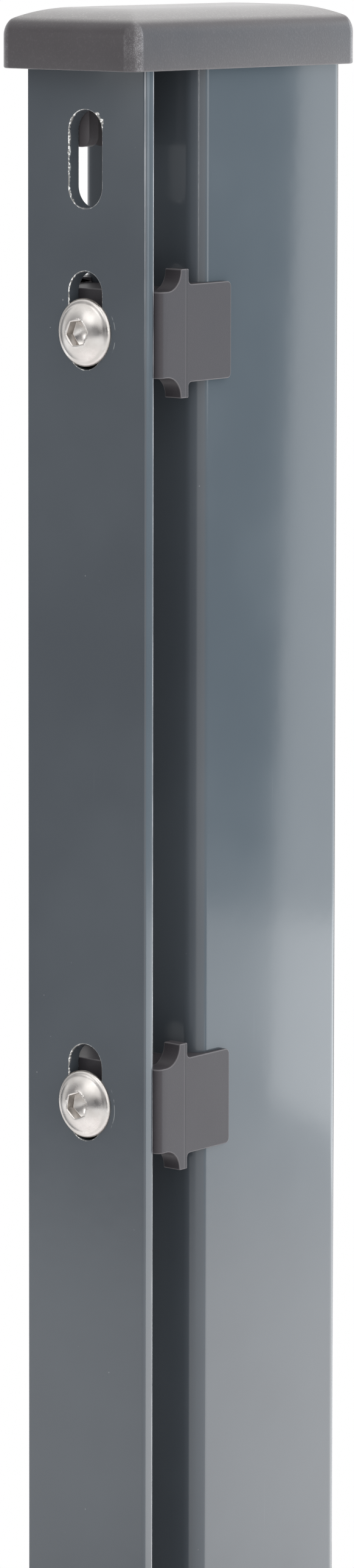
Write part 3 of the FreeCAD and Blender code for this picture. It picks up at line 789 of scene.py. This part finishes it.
def make_strip():
    piece = grown("strip", strip_tree(), {
        "Width": TUBE_WIDTH * MM, "Thickness": STRIP_THICKNESS * MM, "Edge": STRIP_EDGE * MM,
        "Length": (POST_LENGTH - STRIP_LOW) * MM, "Slot Width": SLOT_WIDTH * MM,
        "Slot Length": SLOT_LENGTH * MM, "Slots": len(BOLT_HEIGHTS),
        "Lowest": (LOWEST_BOLT + SLOT_RISE - STRIP_LOW) * MM, "Pitch": BOLT_PITCH * MM,
        "Top": (TOP_SLOT - STRIP_LOW) * MM,
    })
    clean(piece)
    soften(piece, 0.35, steps=3, clamp=False)
    shift_mesh(piece, (0.0, (STRIP_FRONT + STRIP_BACK) / 2, STRIP_LOW))
    finish_piece(piece, "cover_strip", strip_coat)


def cap_ring(inset, height, radius):
    points = rounded_box(
        inset - CAP_SIDE, CAP_SIDE - inset, CAP_FRONT + inset, CAP_BACK - inset, radius, steps=8
    )
    return [Vector((x, y, height)) * MM for x, y in points]


def box_into(shape, low, high, rounded=0.0):
    """A closed block inside the same mesh, its two lower corners rounded if asked for."""
    if rounded:
        outline = arc((low[0] + rounded, low[2] + rounded), rounded, 180, 270, 6)
        outline += arc((high[0] - rounded, low[2] + rounded), rounded, 270, 360, 6)
        outline += [(high[0], high[2]), (low[0], high[2])]
        rings = [[Vector((x, y, z)) * MM for x, z in outline] for y in (low[1], high[1])]
    else:
        corners = ((low[0], low[1]), (high[0], low[1]), (high[0], high[1]), (low[0], high[1]))
        rings = [[Vector((x, y, z)) * MM for x, y in corners] for z in (low[2], high[2])]
    skin(shape, rings)


def shoulder_profile():
    """Insets and heights up the shoulder: a small arc, the wide one it runs into, and a slight crown."""
    small = CAP_SHOULDER_ROUND
    across, crowning = CAP_ROLL - small, 0.3
    rise = CAP_RISE - crowning
    wide = (across ** 2 + rise ** 2 - small ** 2) / (2 * (rise - small))
    turn = math.degrees(math.atan2(wide - rise, across))
    points = [(small - u, v) for u, v in arc((0.0, 0.0), small, 0, turn, 16)]
    points += [(CAP_ROLL - u, rise - wide + v) for u, v in arc((0.0, 0.0), wide, turn, 90, 14)[1:]]
    points += [(16.5, rise + 0.14), (19.0, rise + 0.25), (21.3, rise + crowning)]
    return points


def make_cap():
    """Moulded cap: skirt with a tiny edge round, shoulder that rolls in, gently crowned top."""
    shape = bmesh.new()
    crown = CAP_RIM + CAP_SKIRT + CAP_RISE
    inside_top = crown - CAP_CROWN_WALL
    rings = [
        cap_ring(18.0, inside_top, 3.5),
        cap_ring(CAP_CORE_INSET, inside_top, 2.2),
        cap_ring(CAP_CORE_INSET, POST_LENGTH, 2.2),
        cap_ring(CAP_WALL, POST_LENGTH, 2.2),
        cap_ring(CAP_WALL, CAP_RIM + 0.15, 2.2),
        cap_ring(CAP_WALL - 0.15, CAP_RIM, 2.35),
        cap_ring(0.45, CAP_RIM, 3.3),
        cap_ring(0.13, CAP_RIM + 0.13, 3.58),
        cap_ring(0.0, CAP_RIM + 0.45, 3.7),
    ]
    for inset, lift in shoulder_profile():
        rings.append(cap_ring(inset, CAP_RIM + CAP_SKIRT + lift, max(1.3, CAP_CORNER - 1.2 * inset)))
    skin(shape, rings)
    leg_top = inside_top + 0.6
    rib_low, rib_high = CAP_RIM + 0.1, POST_LENGTH + 0.4
    for side in (-1, 1):
        middle = CAP_LEG_ASIDE * side
        box_into(
            shape, (middle - CAP_LEG_HALF, STRIP_BACK + 0.2, CAP_LEG_FOOT),
            (middle + CAP_LEG_HALF, STRIP_BACK + 3.7, leg_top), CAP_LEG_ROUND,
        )
        left = -21.5 if side < 0 else 20.2
        for rib_y in (-CAP_RIB_Y, CAP_RIB_Y):
            box_into(
                shape, (left, rib_y - CAP_RIB_HALF, rib_low), (left + 1.3, rib_y + CAP_RIB_HALF, rib_high)
            )
        rib_x = CAP_RIB_X * side
        box_into(
            shape, (rib_x - CAP_RIB_HALF, CAP_FRONT + 1.4, rib_low),
            (rib_x + CAP_RIB_HALF, STRIP_FRONT - 0.2, rib_high),
        )
    box_into(
        shape, (-CAP_KEY_HALF, STRIP_BACK + 8.0, CAP_LEG_FOOT),
        (CAP_KEY_HALF, STRIP_BACK + 11.0, leg_top), CAP_LEG_ROUND,
    )
    bmesh.ops.recalc_face_normals(shape, faces=shape.faces)
    piece = from_bmesh("cap", shape)
    smooth(piece, 40.0)
    finish_piece(piece, "post_cap", cap_plastic)


def holder_mesh():
    """One mesh holder about its bolt axis, at height zero: a body between two cheeks with ears and tabs."""
    seat, ear, tab = HOLDER_SEAT, HOLDER_EAR, HOLDER_TAB
    ear_front, ear_back, tab_back = STRIP_BACK + 8.4, STRIP_BACK + 11.4, TUBE_FRONT + 11.4
    wire_round, ear_fillet, tab_round, tall = 5.2, 1.2, 1.4, 20.0
    upper = [(STRIP_BACK, seat)]
    upper += arc((ear_front - wire_round, seat + wire_round), wire_round, 270, 360, 12)
    upper += [(ear_front, ear), (ear_back, ear)]
    upper += arc((ear_back + ear_fillet, tab + ear_fillet), ear_fillet, 180, 270, 5)
    upper += arc((tab_back - tab_round, tab - tab_round), tab_round, 90, 0, 5)
    outline = upper + [(y, -z) for y, z in reversed(upper)]
    body = rounded_box(-HOLDER_BODY, HOLDER_BODY, STRIP_BACK, TUBE_FRONT, 0.01, 1)
    piece = prism("holder", body, -seat, seat, "z")
    inside = HOLDER_BODY - 0.05
    for inner, outer in ((inside, HOLDER_SIDE), (-HOLDER_SIDE, -inside)):
        combine(piece, prism("cheek", outline, inner, outer, "x"), "UNION")
    half_tube = TUBE_WIDTH / 2 + 0.2
    tube = rounded_box(-half_tube, half_tube, TUBE_FRONT, 40.0, TUBE_CORNER, 8)
    combine(piece, prism("tube tool", tube, -tall, tall, "z"), "DIFFERENCE")
    hull = rounded_box(-HOLDER_SIDE, HOLDER_SIDE, STRIP_BACK, 60.0, 1.6, 8)
    combine(piece, prism("rounded front", hull, -tall, tall, "z"), "INTERSECT")
    bolt_opening = (5.25, STRIP_BACK - 1, TUBE_FRONT + 1)
    nut_recess = (8.4, TUBE_FRONT - 1.4, TUBE_FRONT + 1)
    for half, near, far in (bolt_opening, nut_recess):
        square = [(-half, -half), (half, -half), (half, half), (-half, half)]
        combine(piece, prism("opening", square, near, far, "y"), "DIFFERENCE")
    clean(piece)
    soften(piece, HOLDER_ROUND, steps=3, angle=40.0, clamp=False)
    mark_edges(piece.data, HOLDER_EDGE * MM)
    return piece


def mark_edges(mesh, narrow):
    """Store on each face whether it belongs to a rounded edge, which is narrower than all other faces."""
    flags = mesh.attributes.new("edge", "FLOAT", "FACE")
    for face in mesh.polygons:
        corners = [mesh.vertices[index].co for index in face.vertices]
        longest = max((a - b).length for a, b in zip(corners, corners[1:] + corners[:1]))
        flags.data[face.index].value = float(face.area < longest * narrow)


def make_holders():
    first = holder_mesh()
    for number, height in enumerate(BOLT_HEIGHTS, start=1):
        piece = as_object("holder_" + str(number), first.data.copy())
        shift_mesh(piece, (0.0, 0.0, height))
        finish_piece(piece, "mesh_holder_" + str(number), holder_plastic)
    bpy.data.objects.remove(first)


def bolt_mesh():
    """Button-head bolt, its bearing face at depth zero, with a countersunk hexagon socket and a thread."""
    shape = bmesh.new()
    dome_radius = 10.6
    dome_centre = -4.2 + dome_radius
    profile = []
    for radius in [1.5, 3.0, 4.0, 4.8, 5.6, 6.2, 6.7, 7.1]:
        profile.append((radius, dome_centre - math.sqrt(dome_radius ** 2 - radius ** 2)))
    edge_depth = profile[-1][1]
    profile += [(7.35, edge_depth + 0.2), (7.6, edge_depth + 0.33), (7.85, edge_depth + 0.41)]
    profile += [(8.1, edge_depth + 0.5), (8.32, edge_depth + 0.64), (8.52, edge_depth + 0.87)]
    profile += [(8.67, edge_depth + 1.18), (BOLT_HEAD_RADIUS, edge_depth + 1.6)]
    profile += [(BOLT_HEAD_RADIUS, -0.35), (8.65, -0.1), (8.45, 0.0), (BOLT_SHANK_RADIUS, 0.0)]
    profile += [(BOLT_SHANK_RADIUS, BOLT_LENGTH - 0.8), (3.5, BOLT_LENGTH)]
    lathe(shape, profile, 96)
    piece = from_bmesh("bolt", shape)
    socket = bmesh.new()
    turns = [math.radians(60 * step) for step in range(6)]
    rings = []
    for flat, depth in ((4.3, -5.4), (4.3, -4.62), (SOCKET_HALF_FLAT, -3.32), (SOCKET_HALF_FLAT, -0.9)):
        corner = flat * 2 / math.sqrt(3.0)
        rings.append([Vector((corner * math.cos(t), depth, corner * math.sin(t))) * MM for t in turns])
    loops = skin(socket, rings, closed_ends=False)
    socket.faces.new(list(reversed(loops[0])))
    tip = socket.verts.new(Vector((0.0, 0.2, 0.0)) * MM)
    for index in range(6):
        socket.faces.new((loops[-1][index], loops[-1][(index + 1) % 6], tip))
    face_out(socket)
    combine(piece, from_bmesh("socket tool", socket), "DIFFERENCE")
    clean(piece, 0.2)
    soften(piece, 0.1, steps=2, angle=30.0)
    thread = grown("thread", thread_tree(), {
        "Core": BOLT_SHANK_RADIUS * MM, "Depth": 0.66 * MM, "Pitch": 1.5 * MM, "Turns": 24.0,
        "Start": 2.5 * MM,
    })
    smooth(thread, 40.0)
    whole = bmesh.new()
    whole.from_mesh(piece.data)
    whole.from_mesh(thread.data)
    bpy.data.objects.remove(thread)
    joined = from_bmesh("bolt whole", whole)
    smooth(joined, 32.0)
    bpy.data.objects.remove(piece)
    return joined


def make_bolts():
    first = bolt_mesh()
    for number, (height, turn) in enumerate(zip(BOLT_HEIGHTS, BOLT_TURNS), start=1):
        piece = as_object("button_bolt_" + str(number), first.data.copy())
        piece.data.transform(Matrix.Rotation(math.radians(turn), 4, "Y"))
        shift_mesh(piece, (0.0, STRIP_FRONT, height))
        finish_piece(piece, "bolt_" + str(number), bolt_steel)
    bpy.data.objects.remove(first)


def dress_nuts():
    """The rivet nuts keep their meshes and get their finish."""
    for number in range(1, len(BOLT_HEIGHTS) + 1):
        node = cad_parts["rivet_nut_" + str(number)]
        node.data.materials.clear()
        node.data.materials.append(nut_steel)


make_tube()
make_strip()
make_cap()
make_holders()
make_bolts()
dress_nuts()


# Studio

def flat_material(name, colour, reach, fade):
    """Pale floor that keeps a shadow near the post and turns into plain white further off."""
    material, tree = empty_material(name)
    matt = tree.add("ShaderNodeBsdfDiffuse", Color=colour)
    white = tree.add("ShaderNodeEmission", Color=(1, 1, 1, 1), Strength=1.0)
    place = tree.add("ShaderNodeTexCoord").outputs["Object"]
    far = tree.ramp(tree.vectors("LENGTH", place)["Value"], reach, fade)
    rays = tree.add("ShaderNodeLightPath").outputs
    seen = tree.math("MAXIMUM", rays["Is Camera Ray"], rays["Is Glossy Ray"])
    mix = tree.add("ShaderNodeMixShader", Fac=tree.math("MULTIPLY", far, seen))
    tree.feed(mix.inputs[1], matt.outputs[0])
    tree.feed(mix.inputs[2], white.outputs[0])
    tree.feed(tree.add("ShaderNodeOutputMaterial").inputs["Surface"], mix.outputs[0])
    return material


def make_floor():
    shape = bmesh.new()
    bmesh.ops.create_circle(shape, cap_ends=True, segments=96, radius=2.4)
    floor = from_bmesh("floor", shape)
    floor.data.transform(Matrix.Translation((0.0, 0.0, -0.0002)))
    floor.data.materials.append(flat_material("pale floor", (0.82, 0.82, 0.82, 1.0), 0.5, 1.6))


def heading(azimuth, elevation):
    """Unit direction from an azimuth (from +X towards +Y) and an elevation, in degrees."""
    turn, lift = math.radians(azimuth), math.radians(elevation)
    return Vector((math.cos(turn) * math.cos(lift), math.sin(turn) * math.cos(lift), math.sin(lift)))


def make_world():
    """White behind the post for the eye; a room of uneven brightness for gloss; soft grey as plain light."""
    world = bpy.data.worlds.new("studio")
    bpy.context.scene.world = world
    world.use_nodes = True
    world.node_tree.nodes.clear()
    tree = Tree(world.node_tree)
    rays = tree.add("ShaderNodeLightPath").outputs
    seen = tree.math("MAXIMUM", rays["Is Camera Ray"], rays["Is Transmission Ray"])
    way = tree.add("ShaderNodeTexCoord").outputs["Generated"]
    room = ROOM_PLAIN
    for azimuth, elevation, reach, fade, colour in ROOM_PATCHES:
        toward = tree.vectors("DOT_PRODUCT", way, heading(azimuth, elevation))["Value"]
        inside, outside = math.cos(math.radians(reach)), math.cos(math.radians(reach + fade))
        room = tree.blend(tree.ramp(toward, outside, inside), room, colour)
    height = tree.add("ShaderNodeSeparateXYZ", Vector=way).outputs["Z"]
    low_edge = math.sin(math.radians(LOW_FIELD_EDGE))
    room = tree.blend(tree.ramp(height, low_edge + 0.012, low_edge - 0.022), room, LOW_FIELD)
    front = tree.vectors("DOT_PRODUCT", way, heading(-95, 0))["Value"]
    soft = tree.blend(tree.ramp(front, 0.2, 0.9), AMBIENT_ROUND, AMBIENT_FRONT)
    plain = tree.blend(rays["Is Glossy Ray"], soft, room)
    colour = tree.blend(seen, plain, (1.0, 1.0, 1.0, 1.0))
    back = tree.add("ShaderNodeBackground", Color=colour, Strength=1.0)
    tree.feed(tree.add("ShaderNodeOutputWorld").inputs["Surface"], back.outputs[0])


def softbox(
    name, azimuth, elevation, distance, width, height, glow, roll=0.0, middle=(0.0, 0.0, 0.95), plain=False
):
    """A lamp seen in a direction from the middle of the view; unless plain, only gloss shows it."""
    light = bpy.data.lights.new(name, "AREA")
    light.shape = "RECTANGLE"
    light.size = width
    light.size_y = height
    light.energy = glow * math.pi * width * height
    stand = bpy.data.objects.new(name, light)
    way = heading(azimuth, elevation)
    turn = way.to_track_quat("Z", "Y").to_matrix().to_4x4() @ Matrix.Rotation(math.radians(roll), 4, "Z")
    stand.matrix_world = Matrix.Translation(Vector(middle) + way * distance) @ turn
    bpy.context.scene.collection.objects.link(stand)
    stand.visible_camera = False
    stand.visible_diffuse = plain


AMBIENT_ROUND = (1.72, 1.68, 1.70, 1.0)
AMBIENT_FRONT = (0.82, 0.82, 0.84, 1.0)
ROOM_PLAIN = (1.12, 1.12, 1.12, 1.0)
# Patches of the room: azimuth, elevation, half width, fade, colour
ROOM_PATCHES = [
    (130, 0, 50, 40, (1.0, 1.0, 1.0, 1.0)),
    (50, 0, 20, 25, (0.60, 0.90, 1.1, 1.0)),
    (-130, -5, 30, 25, (0.30, 0.30, 0.31, 1.0)),
    (-67, -6, 16, 17, (0.12, 0.12, 0.13, 1.0)),
]
LOW_FIELD_EDGE = -12.6
LOW_FIELD = (1.5, 1.52, 1.55, 1.0)

make_floor()
make_world()
softbox("right wall", 8, 40, 2.1, 2.6, 1.5, 0.5, plain=True)
softbox("front fill", -95, 38, 2.2, 1.3, 1.0, 0.8, plain=True)
softbox("front left box", -120, 11, 2.0, 0.55, 0.6, 2.6)
softbox("overhead", 60, 75, 2.0, 1.6, 1.6, 2.2)
softbox("far side box", 69.6, 0.0, 0.636, 0.40, 0.80, 2.1, roll=-5.0, middle=(0.0, 0.0, 1.06))
softbox("low side box", 60, -32.5, 0.72, 0.7, 0.42, 1.9)
softbox("thin edge light", -34, 8.0, 2.0, 0.05, 0.62, 12.0)
softbox("soft edge light", 31, 0, 1.2, 0.24, 0.6, 2.2, middle=(0.0, 0.0, 1.2))


# Camera: the photograph's viewing angle and framing

CAMERA_PLACE = (0.98196, -1.17956, 1.14439)
CAMERA_TURN, CAMERA_PITCH, CAMERA_ROLL = 40.115, -5.710, 0.098
CAMERA_LENS, CAMERA_SHIFT_X, CAMERA_SHIFT = 135.0, -0.0008, -0.21284
camera_data = bpy.data.cameras.new("camera")
camera_data.sensor_fit = "AUTO"
camera_data.sensor_width = 36.0
camera_data.lens = CAMERA_LENS
camera_data.shift_x = CAMERA_SHIFT_X
camera_data.shift_y = CAMERA_SHIFT
camera = bpy.data.objects.new("camera", camera_data)
bpy.context.scene.collection.objects.link(camera)
camera.matrix_world = (
    Matrix.Translation(CAMERA_PLACE)
    @ Matrix.Rotation(math.radians(CAMERA_TURN), 4, "Z")
    @ Matrix.Rotation(math.radians(90.0 + CAMERA_PITCH), 4, "X")
    @ Matrix.Rotation(math.radians(CAMERA_ROLL), 4, "Z")
)
bpy.context.scene.camera = camera

bpy.context.scene.view_settings.view_transform = "Standard"
